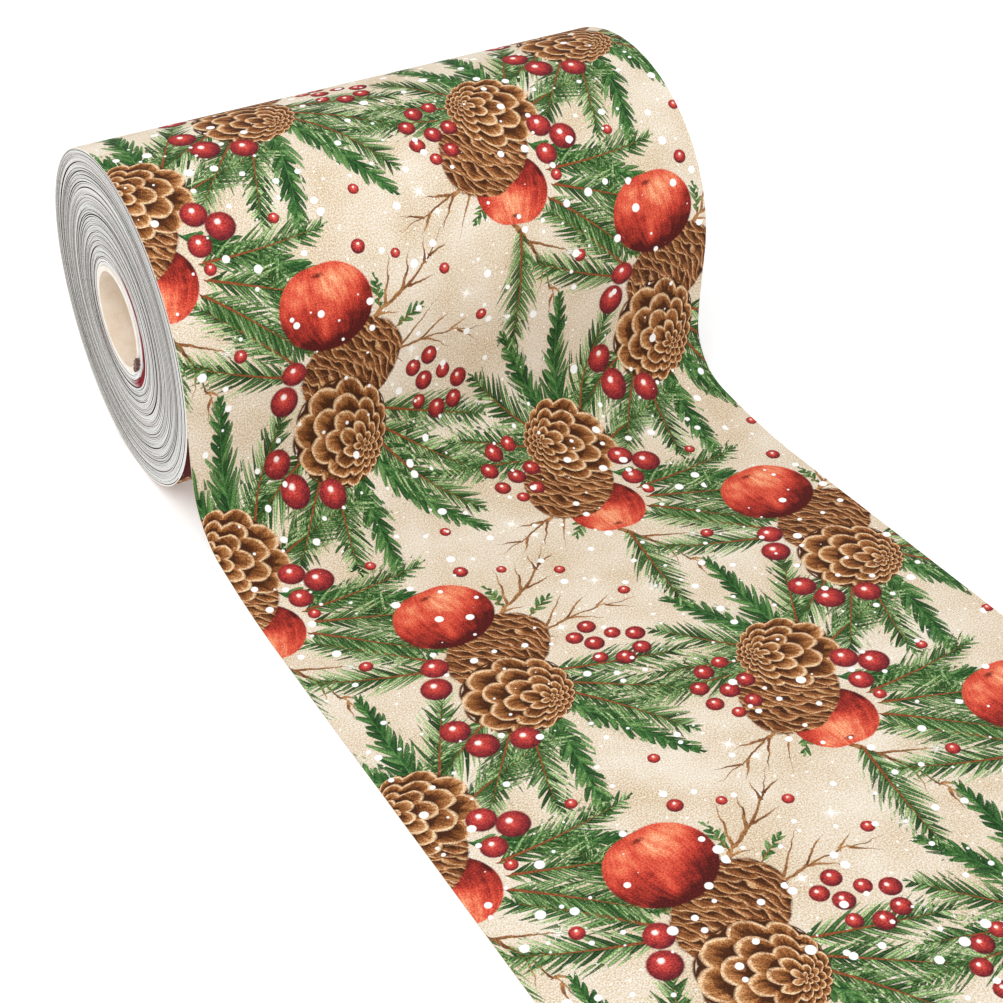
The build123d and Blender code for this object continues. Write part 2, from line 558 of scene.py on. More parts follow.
@dataclass(frozen=True)
class Apple(Motif):
    """A small red apple: orange round the dimple, dark red at the other end, streaked from pole to pole. Its
    shade field darkens the whole skin as painted shade.
    """

    radius: float = 25.0
    height: float = 0.9
    # Darkens the whole skin: painted shade, for the one apple that lies in shadow under the sheet.
    shade: float = 0.0

    def paint(self, g: Graph, under: Field, x: Field, y: Field, seed: Field) -> Field:
        """Paint the fruit: x points up to the dimple, y to the right."""
        u = x / (self.radius * self.height)
        v = y / self.radius
        dent = (v * v * -9.0).step("EXPONENT") * 0.07
        r = (u * u + v * v).step("SQRT") + dent * u.step("GREATER_THAN", 0.0)
        side = (1.02 - u * u).step("MAXIMUM", 0.02).step("SQRT")
        streak = g.add(Kind.NOISE, (v / side * 10.0, u * 1.3, seed * 20.0), 1.0, 3.0, 0.65)
        blotch = g.add(Kind.NOISE, (u * 2.0, v * 2.0, seed * 50.0), 1.0)
        glow = (((u - 0.30) ** 2.0 + (v - 0.10) ** 2.0) * -5.0).step("EXPONENT") * 0.24
        light = u.times_plus(0.34, 0.37) - r * r * r * 0.20 + glow
        # Subtracting shade darkens the skin as painted shade.
        tone = light + streak * 0.6 + blotch * 0.85 - 0.68 - self.shade
        inks = [
            (0.02, "#501613"), (0.2, "#8A2820"), (0.38, "#BC3D2E"), (0.55, "#DA5A42"),
            (0.75, "#EE936B"), (0.98, "#F8CBA4"),
        ]
        skin = g.add(Kind.TONES, tone, inks=inks)
        dimple = ((u - 0.70) ** 2.0 * 4.0 + v * v).step("SQRT")
        skin = g.add(Kind.MIX, ((0.15 - dimple) * 10.0).clamped() * 0.85, skin, linear("#6A1F14"))
        outline = ((1.0 - r) * 30.0).clamped()
        return g.add(Kind.MIX, outline, under, skin)


@dataclass(frozen=True)
class Berry(Motif):
    """A glossy red berry with a dark rim and a white glint; its seed sets its size."""

    smallest: float = 2.6
    growth: float = 6.0

    def paint(self, g: Graph, under: Field, x: Field, y: Field, seed: Field) -> Field:
        """Paint the berry: lit from the upper left, darker and browner the larger it is."""
        size = seed.times_plus(self.growth, self.smallest)
        u = x / size
        v = y / size
        r = (u * u + v * v).step("SQRT")
        glow = ((u - 0.15) ** 2.0 + (v + 0.10) ** 2.0).step("SQRT")
        mottle = g.add(Kind.NOISE, (x, y, seed * 60.0), 1 / 2.6) - 0.5
        inks = [(0.08, "#E37B66"), (0.38, "#C4423B"), (0.66, "#912C2D"), (0.98, "#521B22")]
        skin = g.add(Kind.TONES, glow * 0.72 + seed * 0.22 + mottle * 0.5, inks=inks)
        glint = ((u - 0.28) ** 2.0 + (v + 0.18) ** 2.0).step("SQRT")
        skin = g.add(Kind.MIX, ((0.24 - glint) * 8.0).clamped(), skin, linear("#FBEFEA"))
        outline = ((1.0 - r) * 10.0).clamped()
        return g.add(Kind.MIX, outline, under, skin)


@dataclass(frozen=True)
class Twig(Motif):
    """A thin bare twig: a wavy main line along x with forks, each a line y = side * slope * (x - start)."""

    length: float = 62.0
    ink: str = "#8A5730"
    forks: tuple[tuple[float, float, float], ...] = (
        (12.0, -0.85, 24.0), (24.0, -0.62, 19.0), (27.0, 0.6, 15.0), (42.0, -0.7, 10.0), (7.0, 0.9, 9.0),
        (46.0, 0.55, 12.0),
    )

    def paint(self, g: Graph, under: Field, x: Field, y: Field, seed: Field) -> Field:
        """Paint the main line and the forks, thinner towards their ends."""
        knots = g.add(Kind.NOISE, (x, y, seed * 9.0), 1 / 7.0) - 0.5
        y = y + (x * 0.10 + seed * 6.0).step("SINE") * 1.6 + knots * 4.5
        taper = (1.08 - x / self.length).clamped()
        line = taper * 1.25 - abs(y) + (x.step("LESS_THAN", -1.0) * NEVER)
        line = line + (taper.step("LESS_THAN", 0.05) * NEVER)
        for start, slope, run in self.forks:
            past = x - start
            off = abs(y - past * slope) * math.cos(math.atan(slope))
            fork = (1.0 - past / run).step("MINIMUM", 1.0) * 0.95 - off
            line = line.step("MAXIMUM", fork + (past.step("LESS_THAN", 0.0) * NEVER))
        inked = g.add(Kind.TONES, knots + 0.5, inks=[(0.35, "#6B3D1E"), (0.65, "#B07F50")])
        return g.add(Kind.MIX, (line / SOFT_EDGE).clamped(1.0, 0.35), under, inked)


@dataclass(frozen=True)
class Flake(Motif):
    """A faint white star of eight thin rays, every other one shorter."""

    radius: float = 6.0

    def paint(self, g: Graph, under: Field, x: Field, y: Field, seed: Field) -> Field:
        """Paint rays where the sine of four times the angle is small beside the distance."""
        r = (x * x + y * y).step("SQRT")
        angle = y.step("ARCTAN2", x)
        ray = abs((angle * 4.0).step("SINE")) * r * 0.25
        long_ray = abs((angle * 2.0).step("COSINE")).times_plus(0.55, 0.45)
        width = (1.0 - r / (long_ray * self.radius * (seed * 0.4 + 0.6))).step("MAXIMUM", 0.0) * 0.62
        star = ((width - ray) / SOFT_EDGE).clamped(1.0, 0.2) * r.step("LESS_THAN", self.radius * 1.1)
        glow = (0.5 - r / self.radius * 0.6).clamped() * 0.5
        return g.add(Kind.MIX, star.step("MAXIMUM", glow) * 0.85, under, linear("#FFFDF8"))


FIR = FirSprig(back=-3.0, front=64.0, half_width=25.0)
FROND = FirSprig(
    back=-3.0, front=74.0, half_width=21.0, length=70.0, reach=10.0, spacing=5.8, slant=math.radians(36.0),
    blade=2.0, bluntness=0.35, bend=0.25, body=0.42, stem=0.55,
    inks=("#183417", "#254D22", "#38652F", "#6F9656"), shade_ink="#21411A", stem_ink="#4A7440",
)
LEAFLET = FirSprig(
    back=-2.0, front=16.0, half_width=7.0, length=14.0, reach=5.0, spacing=4.2, slant=math.radians(48.0),
    blade=1.3, bluntness=0.5, bend=0.2, body=0.1, stem=0.5,
    inks=("#25461F", "#35602D", "#4A7439", "#7FA062"), stem_ink="#8A5A32",
)
ROUND_CONE = RoundCone(back=-28.0, front=28.0, half_width=28.0)
SMALL_CONE = RoundCone(back=-26.5, front=26.5, half_width=26.5, radius=24.5, offset=14.5, rings=5.0)
SIDE_CONE = SideCone(back=-26.0, front=26.0, half_width=32.0)
APPLE = Apple(back=-27.0, front=27.0, half_width=27.0)
SMALL_APPLE = Apple(back=-22.0, front=22.0, half_width=22.0, radius=20.5, height=0.96)
# The apple that lies once on the turn below the nip: print, darkened as painted shade of the sheet's shadow.
SHADE_DARKENED_APPLE = Apple(back=-27.0, front=27.0, half_width=27.0, shade=0.38)
BERRY = Berry(back=-9.0, front=9.0, half_width=9.0)
SMALL_BERRY = Berry(back=-6.0, front=6.0, half_width=6.0, smallest=2.4, growth=3.0)
TWIG = Twig(back=-2.0, front=63.0, half_width=22.0)
FLAKE = Flake(back=-7.0, front=7.0, half_width=7.0)


# ---- The print: where each motif lies in one repeat, and in which layer ----


@dataclass(frozen=True)
class Placement:
    """One motif in the repeat: u across the web and v along it, in millimetres, and its heading in degrees.

    Heading 0 points along +u and 90 along +v, which is towards the free end of the sheet.
    """

    motif: Motif
    u: float
    v: float
    heading: float
    seed: float


@dataclass
class PrintRepeat:
    """The repeat of the print and its motifs in painting order. Lengths are in millimetres.

    Attributes:
        across: Size of the repeat across the web.
        along: Its size along the web.
        cell: Size of one quad of the printed meshes.
        spill: Share of a cell by which a motif's box is widened, so that its cut quads are covered too.
        reach: No motif reaches further than this from its base.
        sort_step: Size of the cells in which motifs are sorted into layers.
        layers: Each layer's attribute name, its motif and its placements.
        once: The same for the one motif outside the repeat: an apple darkened as painted shade, on the turn
            below the nip where the sheet shadows it.
    """

    across: float = 190.0
    along: float = 184.3
    cell: float = 3.0
    spill: float = 0.75
    reach: float = 90.0
    sort_step: float = 1.5
    layers: list[tuple[str, Motif, list[Placement]]] = field(default_factory=list)
    # One dark apple below the nip: partly print, partly painted shade where the sheet shadows the turn.
    once: tuple[str, Motif, list[Placement]] = (
        "print_once", SHADE_DARKENED_APPLE, [Placement(SHADE_DARKENED_APPLE, -9.0, 184.0, 200.0, 0.4)],
    )

    @staticmethod
    def place(motif: Motif, *rows: tuple[float, float, float, float]) -> list[Placement]:
        """Return one placement of the motif for each row of u, v, heading and seed."""
        return [Placement(motif, *row) for row in rows]

    def placements(self) -> list[list[Placement]]:
        """Return the motifs of one repeat, a list for each step of the painting order."""
        return [
            self.place(
                FLAKE,
                (133, 102, 10, 0.9), (152, 126, 30, 0.6), (146, 82, 0, 0.4), (38, 60, 20, 0.8),
                (120, 148, 5, 0.5), (150, 2, 15, 0.7), (60, 78, 40, 0.4), (175, 146, 12, 0.6),
                (140, 70, 50, 1.0), (24, 120, 50, 0.7),
            ),
            self.place(
                TWIG,
                (98, 129, -38, 0.2), (100, 144, 2, 0.7), (182, 70, 165, 0.5), (186, 98, 68, 0.9),
            ),
            self.place(
                LEAFLET,
                (104, 120, -85, 0.3), (112, 132, -28, 0.7), (176, 82, 140, 0.5), (62, 36, -60, 0.6),
            ),
            self.place(
                FROND,
                (92, 186, 64, 0.35), (86, 188, 96, 0.75), (205, 38, -114, 0.4), (206, 32, -92, 0.7),
                (208, 60, 34, 0.3),
            ),
            self.place(
                FIR,
                (56, 144, -161, 0.75), (58, 138, -132, 0.3), (66, 136, -108, 0.6), (100, 172, 20, 0.4),
                (98, 186, 50, 0.8), (78, 190, 114, 0.25), (64, 182, 150, 0.5), (198, 34, -137, 0.7),
                (184, 38, -166, 0.35), (210, 30, -62, 0.55), (212, 76, 4, 0.2), (208, 90, 40, 0.65),
                (188, 102, 100, 0.4), (214, 42, -24, 0.9), (196, 38, -151, 0.15), (96, 178, 35, 0.55),
                (72, 188, 131, 0.45), (212, 84, 22, 0.5),
            ),
            self.place(SMALL_APPLE, (189, 81, 98, 0.65)),
            self.place(SIDE_CONE, (87, 146, 62, 0.2), (183, 57, 48, 0.7)),
            self.place(APPLE, (77, 112, -95, 0.15)),
            self.place(ROUND_CONE, (79, 177, 222, 0.3)) + self.place(SMALL_CONE, (199, 35, 28, 0.8)),
            self.place(
                BERRY,
                (56, 142, -70, 0.72), (50, 155, -60, 0.86), (44, 184, -60, 0.80), (50, 198, -80, 0.90),
                (68, 204, -60, 0.78), (218, 52, -60, 0.74), (228, 61, -70, 0.88), (215, 68, -60, 0.6),
            ),
            self.place(
                SMALL_BERRY,
                (121, 158, -70, 0.7), (130, 154, -50, 0.8), (127, 166, -60, 0.9), (138, 164, -60, 0.6),
                (147, 170, -80, 0.9), (144, 180, -60, 0.8), (134, 182, -50, 0.9), (124, 176, -60, 0.5),
                (150, 34, -60, 0.8), (158, 26, -70, 0.9), (168, 24, -60, 0.6), (150, 46, -50, 0.7),
                (161, 42, -60, 0.9), (171, 40, -60, 0.8), (166, 53, -60, 0.7), (156, 56, -60, 0.4),
                (30, 124, -40, 0.4), (108, 60, -40, 0.2), (142, 110, -40, 0.2), (26, 80, -40, 0.3),
                (118, 96, -40, 0.1), (100, 88, -40, 0.5), (160, 140, -40, 0.3), (64, 64, -40, 0.2),
            ),
        ]

    def covered(self, place: Placement, u: np.ndarray, v: np.ndarray, margin: float) -> np.ndarray:
        """Return which points lie in a motif's box, widened by a margin."""
        x, y = self.local(place, u, v)
        box = place.motif
        return (x > box.back - margin) & (x < box.front + margin) & (abs(y) < box.half_width + margin)

    @staticmethod
    def local(place: Placement, u: np.ndarray, v: np.ndarray) -> tuple[np.ndarray, np.ndarray]:
        """Return web points in a motif's own plane: moved to its base and turned back by its heading."""
        turn = math.radians(place.heading)
        du = u - place.u
        dv = v - place.v
        return du * math.cos(turn) + dv * math.sin(turn), dv * math.cos(turn) - du * math.sin(turn)

    def repeats(self, low: np.ndarray, high: np.ndarray) -> list[tuple[float, float]]:
        """Return the shifts of the repeat that can reach a stretch of web between two corners."""
        first = np.floor((low - self.reach) / (self.across, self.along)).astype(int) - 1
        last = np.ceil((high + self.reach) / (self.across, self.along)).astype(int) + 1
        return [
            (i * self.across, j * self.along)
            for i in range(first[0], last[0] + 1)
            for j in range(first[1], last[1] + 1)
        ]

    def sort_layers(self) -> None:
        """Spread each step's motifs over layers, so that no two motifs of one layer share a cell of mesh.

        The repeat is cut into small cells. A motif joins the first layer in which all its cells, wrapped
        round the repeat's borders, are still free.
        """
        places = [np.arange(0, size, self.sort_step) for size in (self.across, self.along)]
        u, v = np.meshgrid(*places, indexing="ij")
        shifts = self.repeats(np.zeros(2), np.array([self.across, self.along]))
        for number, group in enumerate(self.placements()):
            open_layers: list[tuple[np.ndarray, list[Placement]]] = []
            for place in group:
                taken = np.zeros(u.shape, bool)
                for du, dv in shifts:
                    taken |= self.covered(place, u - du, v - dv, self.cell)
                for used, members in open_layers:
                    if members[0].motif == place.motif and not (used & taken).any():
                        used |= taken
                        members.append(place)
                        break
                else:
                    open_layers.append((taken, [place]))
            for depth, (_, members) in enumerate(open_layers):
                self.layers.append((f"print_{number}_{depth}", members[0].motif, members))
        LOG.info("print: %d layers", len(self.layers))

    def store(self, mesh: bpy.types.Mesh, corners: np.ndarray, with_once: bool) -> None:
        """Store each layer's motif coordinates and a UV map on the corners of the printed quads.

        Args:
            mesh: The printed mesh.
            corners: Web coordinates of the printed quads' corners, quads by 4 by 2, in millimetres.
            with_once: True to add the single motif that the turn under the sheet shows below the nip, an
                apple darkened as painted shade.
        """
        middle = corners.mean(1)
        shifts = self.repeats(middle.min(0), middle.max(0))
        margin = self.cell * self.spill
        single = (self.once[0], self.once[1], self.once[2] if with_once else [])
        for name, _, members in [*self.layers, single]:
            values = np.tile(np.array(FAR), (len(corners), 4, 1))
            for place in members:
                for du, dv in shifts if name != single[0] else [(0.0, 0.0)]:
                    hit = self.covered(place, middle[:, 0] - du, middle[:, 1] - dv, margin)
                    if hit.any():
                        x, y = self.local(place, corners[hit, :, 0] - du, corners[hit, :, 1] - dv)
                        values[hit] = np.stack([x, y, np.full(x.shape, place.seed)], -1)
            store_corners(mesh, name, values)
        store_corners(mesh, "web", np.concatenate([corners, np.zeros((*corners.shape[:2], 1))], -1))
        low = corners.min((0, 1))
        span = corners.max((0, 1)) - low
        store_uv(mesh, "OFBake", (corners - low) / span * UV_SPAN + UV_START)


# ---- Finishes ----

# Height of the paper's grain, in metres.
GRAIN_DEPTH = 0.0001
# Share of the colour under a layer that is added to the layer's place, in millimetres.
TIE = (1e-6, 1e-6, 1e-6)


def blank(name: str, rough: float, gloss: float = 0.5) -> tuple[bpy.types.Material, Graph, bpy.types.Node]:
    """Return a new node material, its graph and its shader.

    Args:
        name: The real material's name.
        rough: Roughness of the surface.
        gloss: Strength of its mirror part.
    """
    material = bpy.data.materials.new(name)
    material.use_nodes = True
    shader = material.node_tree.nodes["Principled BSDF"]
    shader.inputs["Roughness"].default_value = rough
    shader.inputs["Specular IOR Level"].default_value = gloss
    return material, Graph(material.node_tree), shader


@dataclass(frozen=True)
class PrintedPaper:
    """Soft, uncoated wrapping paper printed in many colours: dull, with a fine fibrous grain.

    Attributes:
        repeat: The print.
        ground: Colour of the ground.
        cloud: Colour of the ground's paler clouds.
        cloud_size: Size of the clouds, in millimetres.
        grain_size: Size of the grain, in millimetres.
        speckle: How strongly the grain lightens and darkens the print.
        bump: How strongly the grain stands out.
    """

    repeat: PrintRepeat
    ground: str = "#D6C3A8"
    cloud: str = "#E7DCCB"
    cloud_size: float = 34.0
    grain_size: float = 0.75
    speckle: float = 0.6
    bump: float = 0.12

    def material(self) -> bpy.types.Material:
        """Paint the speckled ground, every layer of motifs, the snow and the paper's grain."""
        material, g, shader = blank("uncoated printed paper", 0.9, 0.2)
        web = g.add(Kind.ATTRIBUTE, attribute_name="web")
        cloud = g.add(Kind.NOISE, web, 1 / self.cloud_size).clamped(2.6, -0.85)
        grain = g.add(Kind.NOISE, web, 1 / self.grain_size, 2.0, 0.7)
        colour = g.add(Kind.MIX, cloud, linear(self.ground), linear(self.cloud))
        flake = self.snow(g, web, 6.5, 0.45, 17.0)
        colour = g.add(Kind.MIX, flake * 0.8, colour, linear("#FFFAF2"))
        layers = [*self.repeat.layers, self.repeat.once]
        stamps = {motif: motif.stamp() for _, motif, _ in layers}
        for name, motif, _ in layers:
            # The tie is far too small to be seen. It makes the renderer work the layers out one after
            # another instead of holding all of them at once.
            place = g.add(Kind.ATTRIBUTE, attribute_name=name)
            tied = g.add(Kind.VECTOR_MATH, colour, TIE, place, operation="MULTIPLY_ADD")
            colour = g.add(Kind.STAMP, colour, tied, node_tree=stamps[motif])
        colour = g.add(Kind.MIX, self.snow(g, web, 13.0, 1.35, 3.0), colour, linear("#FBFBFA"))
        speckle = grain.clamped(3.2, -1.1)
        g.add(Kind.MIX, self.speckle, colour, speckle, blend_type="OVERLAY").feed(shader, "Base Color")
        g.add(Kind.BUMP, self.bump, GRAIN_DEPTH, grain).feed(shader, "Normal")
        return material

    @staticmethod
    def snow(g: Graph, web: Field, cell: float, largest: float, shift: float) -> Field:
        """Return the cover of round snow dots, one to a cell, most of them small.

        Args:
            g: The material's graph.
            web: Web coordinates in millimetres.
            cell: Size of a cell.
            largest: Radius of the largest dot.
            shift: Sets one scatter apart from another.
        """
        at = g.add(Kind.VECTOR_MATH, web, (shift, shift, 0.0), operation="ADD")
        cells = g.add(Kind.CELLS, at, 1 / cell)
        size = cells.other("Color").parts(Kind.SPLIT_COLOUR)[0] ** 2.0
        away = cells * cell
        return ((size * largest * 1.8 - away) / SOFT_EDGE).clamped(1.0, 0.2)


@dataclass(frozen=True)
class PlainPaper:
    """Unprinted paper or board: one colour, clouded and flecked by its fibres."""

    name: str
    light: str
    dark: str
    fleck_mm: float = 0.8
    cloud_mm: float = 14.0

    def material(self) -> bpy.types.Material:
        """Mix the two tones by a fine and a coarse noise."""
        material, g, shader = blank(self.name, 0.9, 0.2)
        at = g.add(Kind.PLACE)
        fine = g.add(Kind.NOISE, at, 1 / (self.fleck_mm * MM), 2.0, 0.7)
        broad = g.add(Kind.NOISE, at, 1 / (self.cloud_mm * MM))
        tone = (fine * 0.6 + broad * 0.7).clamped(1.8, -0.75)
        colour = g.add(Kind.TONES, tone, inks=[(0.0, self.dark), (1.0, self.light)])
        colour.feed(shader, "Base Color")
        g.add(Kind.BUMP, 0.3, GRAIN_DEPTH, fine).feed(shader, "Normal")
        return material


@dataclass(frozen=True)
class PaperEdges:
    """The cut edges of wound paper: pale grey, each turn a little different, with faint print showing pink.

    Attributes:
        name: Name of the material.
        light: Tone of the palest turns.
        dark: Tone of the darkest turns.
        tint: Colour of the ink that shows at some stretches of the edges.
        facing: Tone of the turns towards the front and the top of the roll, where the edges are made lighter.
        first_ink: Colour of the ink at the first turn, where the web's print begins.
        facing_cover: Share of the facing tone on those turns.
        first_turns: Number of turns that show the first ink.
    """

    name: str
    light: str = "#E1E0DC"
    dark: str = "#625F5B"
    tint: str = "#A86A74"
    facing: str = "#D8D8D5"
    first_ink: str = "#9E1A2E"
    facing_cover: float = 0.6
    first_turns: float = 4.4

    def material(self) -> bpy.types.Material:
        """Vary the tone from turn to turn and along each; the turn attribute counts the turns so far."""
        material, g, shader = blank(self.name, 0.95, 0.1)
        turn, _, _ = g.add(Kind.ATTRIBUTE, attribute_name="turn").parts()
        at = g.add(Kind.PLACE)
        _, y, z = at.parts()
        number = turn.step("FLOOR")
        # Lighter towards the front and the top of the roll.
        forward = (y * -9.0 + z * 3.0).clamped(1.0, 0.35)
        drift = g.add(Kind.NOISE, (turn * 1.7, number * 3.1, 0.0), 1.0)
        fine = g.add(Kind.NOISE, at, 1 / (0.8 * MM), 2.0, 0.8)
        tone = (drift * 0.9 + fine * 1.1 + forward * 0.36).clamped(1.9, -1.42)
        colour = g.add(Kind.TONES, tone, inks=[(0.0, self.dark), (0.55, self.light), (1.0, self.light)])
        colour = g.add(Kind.MIX, forward * self.facing_cover, colour, linear(self.facing))
        pink = g.add(Kind.NOISE, (turn * 2.3, number * 1.9, 5.0), 1.0).clamped(6.0, -3.3)
        colour = g.add(Kind.MIX, pink * 0.3, colour, linear(self.tint))
        first = turn.step("LESS_THAN", self.first_turns) * (y * -60.0).clamped(1.0, -0.3)
        broken = g.add(Kind.NOISE, (turn * 9.0, 0.0, 3.0), 1.0, 1.0).clamped(12.0, -4.4)
        colour = g.add(Kind.MIX, first * broken, colour, linear(self.first_ink))
        colour.feed(shader, "Base Color")
        return material


@dataclass(frozen=True)
class ShadedGapInk:
    """The printed faces deep in the gaps between turns: dark green, brown and red ink in half light, painted
    dark as the shade of the gaps.
    """

    name: str = "printed faces between the turns"

    def material(self) -> bpy.types.Material:
        """Pick a dark ink by a broad noise; the darkness is painted shade."""
        material, g, shader = blank(self.name, 0.9)
        at = g.add(Kind.PLACE)
        place = g.add(Kind.NOISE, at, 1 / (11.0 * MM))
        inks = [(0.3, "#1F2A18"), (0.45, "#4C4136"), (0.55, "#33200F"), (0.7, "#4A1118")]
        colour = g.add(Kind.TONES, place, inks=inks)
        colour.feed(shader, "Base Color")
        return material


# ---- Pieces ----


@dataclass
class FreeSheet:
    """The free sheet: it leaves the roll at the nip, falls, bends and lies flat to its straight cut end.

    The path has the CAD solid's straight drop and three tangent bends; angles are in radians. The print
    run pairs a distance from the nip with the length of print that lies there, in millimetres: the print is
    drawn out a little round the bend and a little closer further on. The bends are walked in steps of
    walk. Over the first taper metres the sheet thins to nothing, and at the nip its two faces stand
    nip_face and nip_back off the roll.
    """

    sizes: RollSizes
    repeat: PrintRepeat
    paper: bpy.types.Material
    fall_radius: float = 0.183
    fall_turn: float = math.radians(9.0)
    bend_radius: float = 0.0315
    bend_turn: float = math.radians(76.5)
    lay_radius: float = 0.355
    clearance: float = 0.3 * MM
    cell: float = 3.0 * MM
    walk: float = 0.0001
    taper: float = 0.02
    nip_face: float = 0.12 * MM
    nip_back: float = 0.05 * MM
    print_run: tuple[tuple[float, float], ...] = (
        (0.0, 0.0), (92.0, 76.0), (168.0, 149.0), (400.0, 394.0), (600.0, 600.0),
    )

    def path(self) -> tuple[np.ndarray, np.ndarray, np.ndarray]:
        """Return the middle line: distance from the nip, (y, z) points and the normals to the printed face.

        The heading turns at 1 / radius along each bend, and the points are its running sum.
        """
        turns = (self.fall_turn, self.bend_turn, self.sizes.nip - self.fall_turn - self.bend_turn)
        radii = (self.fall_radius, self.bend_radius, self.lay_radius)
        start = self.sizes.radius + self.clearance + self.sizes.paper / 2
        point = np.array([-math.sin(self.sizes.nip), math.cos(self.sizes.nip)]) * start
        heading = self.sizes.nip + math.pi / 2
        drop = 0.0
        for radius, turn in zip(radii, turns):
            drop += radius * (math.sin(heading - turn) - math.sin(heading))
            heading -= turn
        heading = self.sizes.nip + math.pi / 2
        height = point[1] - (self.sizes.floor + self.sizes.paper / 2)
        straight = (height - drop) / -math.cos(heading)
        marks = np.cumsum([0.0, straight, *[r * t for r, t in zip(radii, turns)]])
        angles = heading - np.cumsum([0.0, 0.0, *turns])
        fine = np.arange(0.0, marks[-1], self.walk)
        headings = np.interp(fine, marks, angles)
        moves = np.stack([-np.sin(headings), np.cos(headings)], -1) * self.walk
        line = point + np.concatenate([np.zeros((1, 2)), np.cumsum(moves, 0)])
        run = self.sizes.sheet_reach + line[-1, 0]
        length = marks[-1] + run
        fine = np.concatenate([np.arange(len(line)) * self.walk, [length]])
        line = np.concatenate([line, [[-self.sizes.sheet_reach, line[-1, 1]]]])
        at = np.linspace(0.0, length, int(round(length / self.cell)) + 1)
        headings = np.interp(at, marks, angles)
        normals = np.stack([np.cos(headings), np.sin(headings)], -1)
        points = np.stack([np.interp(at, fine, line[:, 0]), np.interp(at, fine, line[:, 1])], -1)
        return at, points, normals

    def build(self) -> bpy.types.Object:
        """Make the sheet: the path swept across the web, thinned where it leaves the roll."""
        at, points, normals = self.path()
        half = self.sizes.paper / 2
        thin = np.clip(at / self.taper, 0.0, 1.0)
        rise = half * thin + (self.nip_face - half - self.clearance) * (1 - thin)
        under = -half * thin + (self.nip_back - half - self.clearance) * (1 - thin)
        across = self.sizes.across(int(self.sizes.width / self.cell) + 1)
        grids = np.zeros((2, len(at), len(across), 3))
        grids[..., 0] = across
        for grid, offset in zip(grids, (rise, under)):
            grid[..., 1:] = (points + normals * offset[:, None])[:, None]
        run = at / MM + self.sizes.nip * self.sizes.radius / MM
        drawn = np.interp(run - run[0], *zip(*self.print_run)) + run[0]
        slab = Slab(*grids, coords=self.sizes.web(across, drawn))
        reverse = PlainPaper("unprinted reverse of the paper", "#F3F0EA", "#E4DFD6").material()
        cut = PlainPaper("cut edge of the sheet", "#D8CAB6", "#A8967E").material()
        piece = slab.build("free_sheet_printed", [self.paper, reverse, cut])
        self.repeat.store(piece.data, slab.corner_coords(), False)
        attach(piece, "sheet")
        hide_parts("free_sheet")
        return piece


def rolled(angles: np.ndarray, across: np.ndarray, radius: Union[float, np.ndarray]) -> np.ndarray:
    """Return a grid of points about the roll's axis: y = -r sin a and z = r cos a.

    Args:
        angles: The angle a of each row, in radians from the top towards the front.
        across: The x of each column, or of each point.
        radius: The radius r of all points, of each row as a column of numbers, or of each point.
    """
    grid = np.zeros((len(angles), across.shape[-1], 3))
    grid[..., 0] = across
    grid[..., 1] = -np.sin(angles)[:, None] * radius
    grid[..., 2] = np.cos(angles)[:, None] * radius
    return grid


@dataclass
class OuterTurn:
    """The outermost printed turn of the roll, a closed ring whose print closes on itself."""

    sizes: RollSizes
    repeat: PrintRepeat
    paper: bpy.types.Material
    steps: int = 184
    columns: int = 100

    def build(self) -> bpy.types.Object:
        """Make the ring, with its print's coordinates measured from the top towards the front."""
        angles = np.arange(self.steps) / self.steps * 2 * math.pi - math.pi
        across = self.sizes.across(self.columns + 1)
        radii = (self.sizes.radius, self.sizes.radius - self.sizes.paper)
        coords = self.sizes.web(across, angles * self.sizes.radius / MM)
        grids = [rolled(angles, across, radius) for radius in radii]
        slab = Slab(*grids, True, coords, math.pi * self.sizes.radius / MM)
        reverse = PlainPaper("reverse of the outer turn", "#F0EDE7", "#E0DBD3").material()
        piece = slab.build("outer_turn_printed", [self.paper, reverse, reverse])
        self.repeat.store(piece.data, slab.corner_coords(), True)
        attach(piece, "roll")
        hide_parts("outer_turn")
        return piece


